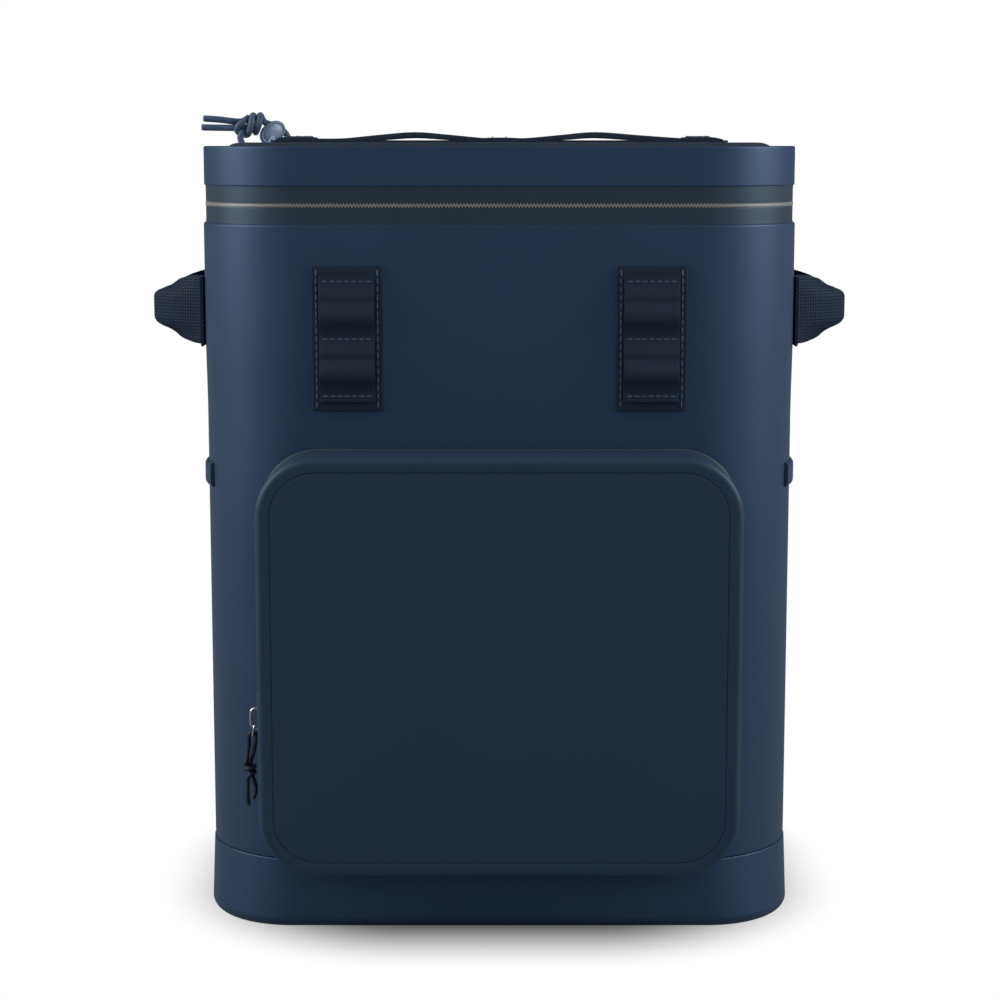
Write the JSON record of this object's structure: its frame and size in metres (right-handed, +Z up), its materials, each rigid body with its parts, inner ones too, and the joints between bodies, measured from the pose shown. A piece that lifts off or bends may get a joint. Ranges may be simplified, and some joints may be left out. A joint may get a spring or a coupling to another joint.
{
  "type": "cooler backpack",
  "caption": "Upright soft cooler worn as a backpack, with a rounded insulated body, zipped lid, moulded front pocket, side grab handles, lash webbing and padded shoulder straps.",
  "frame": {"origin": "centre of the flat underside of the base panel, where the bag stands", "axes": "+Z up along the height, +X towards the side handle on the right as seen from the front, -Y towards the front pocket, +Y towards the wearer's back"},
  "size_m": [0.4274, 0.342, 0.4816],
  "materials": {
    "coated_shell": "smooth coated fabric, satin, navy blue",
    "pocket_face": "moulded foam with smooth matt fabric, dark navy",
    "zip_tape": "coated zip tape, dark slate blue",
    "zip_teeth": "dull greyish metal teeth",
    "pocket_zip": "near-black zip strip with a spiral coil",
    "lid_panel": "fine textured fabric, dark slate",
    "webbing": "woven webbing with blue stitching, dark navy",
    "painted_pull": "satin paint, steel blue",
    "bright_metal": "satin steel",
    "cord": "braided cord, navy blue",
    "dark_cord": "braided cord, near black",
    "back_padding": "padded mesh fabric, dark slate",
    "buckle": "moulded plastic, black"
  },
  "bodies": {
    "root": {"base_panel": "coated_shell", "body_shell": "coated_shell", "lid": "coated_shell", "lid_hinge": "coated_shell", "zip_tape_lower": "zip_tape", "zip_tape_upper": "zip_tape", "zip_chain": "zip_teeth", "lid_raised_panel": "lid_panel", "lid_strap_backing": "webbing", "lid_strap": "webbing", "main_slider": "painted_pull", "main_pull_tab": "painted_pull", "main_cord_inner": "cord", "main_cord_outer": "cord", "main_pull_knot": "cord", "main_tail_upper": "cord", "main_tail_lower": "cord", "pocket_welt": "pocket_face", "pocket_zip": "pocket_zip", "pocket_shell": "pocket_face", "pocket_slider": "bright_metal", "pocket_pull_ring": "bright_metal", "pocket_pull_link": "bright_metal", "pocket_cord_outer": "dark_cord", "pocket_cord_inner": "dark_cord", "pocket_pull_knot": "dark_cord", "pocket_tail_outer": "dark_cord", "pocket_tail_inner": "dark_cord", "webbing_panel_left": "webbing", "webbing_panel_right": "webbing", "webbing_loops_left": "webbing", "webbing_loops_right": "webbing", "side_handle_left": "webbing", "side_handle_right": "webbing", "side_tab_left": "coated_shell", "side_tab_right": "coated_shell", "back_pad": "back_padding", "strap_yoke": "webbing", "shoulder_strap_left": "back_padding", "shoulder_strap_right": "back_padding", "strap_buckle_left": "buckle", "strap_buckle_right": "buckle", "strap_webbing_left": "webbing", "strap_webbing_right": "webbing"}
  },
  "joints": []
}
